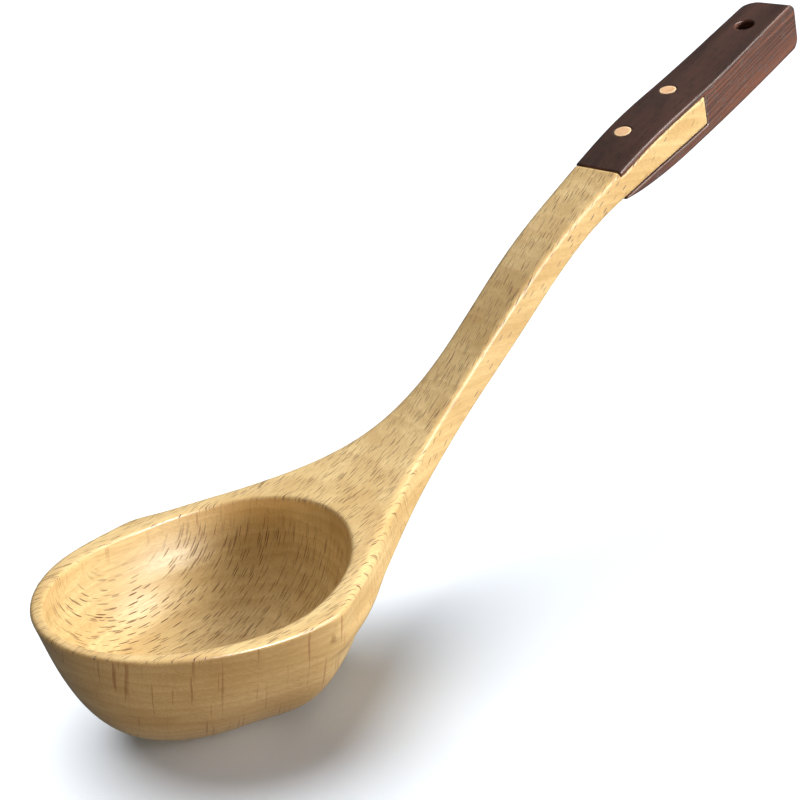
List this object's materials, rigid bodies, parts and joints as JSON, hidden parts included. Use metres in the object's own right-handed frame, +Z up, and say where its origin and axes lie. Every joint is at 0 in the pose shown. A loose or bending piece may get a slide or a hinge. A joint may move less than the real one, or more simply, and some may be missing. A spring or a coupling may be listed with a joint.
{
  "type": "wooden ladle",
  "caption": "Carved wooden ladle: a deep oval bowl on a raised, curved handle whose end is clasped by a forked, pinned dark grip with a hanging hole.",
  "frame": {"origin": "centre of the flat foot under the bowl", "axes": "+X along the handle away from the bowl, +Z up from the foot, +Y towards the side that the pins are nearer to"},
  "size_m": [0.3403, 0.084, 0.1628],
  "materials": {
    "beech": "satin, lightly oiled, with dark ray flecks along the grain",
    "dark_wood": "satin, fine straight grain",
    "pin_wood": "satin end grain"
  },
  "bodies": {
    "root": {"spoon_body": "beech", "forked_grip": "dark_wood", "front_pin": "pin_wood", "rear_pin": "pin_wood"}
  },
  "joints": []
}
